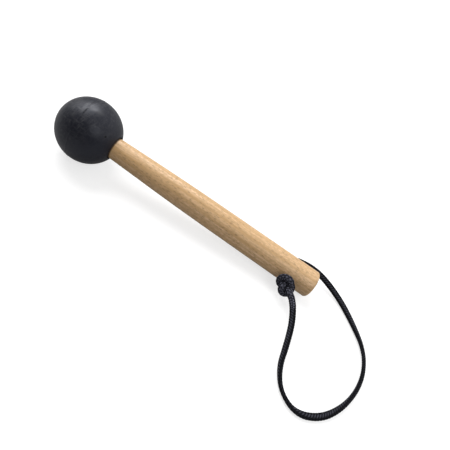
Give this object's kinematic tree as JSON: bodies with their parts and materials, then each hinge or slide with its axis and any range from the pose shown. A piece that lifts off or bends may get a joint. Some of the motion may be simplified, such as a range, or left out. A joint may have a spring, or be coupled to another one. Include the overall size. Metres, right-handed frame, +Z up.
{
  "type": "bass drum beater",
  "caption": "Hand-held bass drum beater lying on a table: a black rubber ball on a turned beech handle, with a knotted black wrist cord through the butt end.",
  "frame": {"origin": "on the table, under the middle of the beater's own length and width, without the cord", "axes": "+X runs from the ball to the butt, +Z is up from the table, and the cord's loop lies towards -Y"},
  "size_m": [0.3821, 0.1568, 0.0651],
  "materials": {
    "ball_rubber": "satin",
    "beech": "satin lacquer",
    "braided_cord": "matte"
  },
  "bodies": {
    "beater": {"ball_head": "ball_rubber", "handle": "beech"},
    "wrist_loop": {"wrist_cord": "braided_cord", "knot": "braided_cord"}
  },
  "joints": [
    {"name": "loop_swing", "type": "hinge", "parent": "beater", "child": "wrist_loop", "pos_m": [0.12504, 0, 0.01606], "axis": [0, -1, 0], "range_deg": [0, 150]}
  ]
}
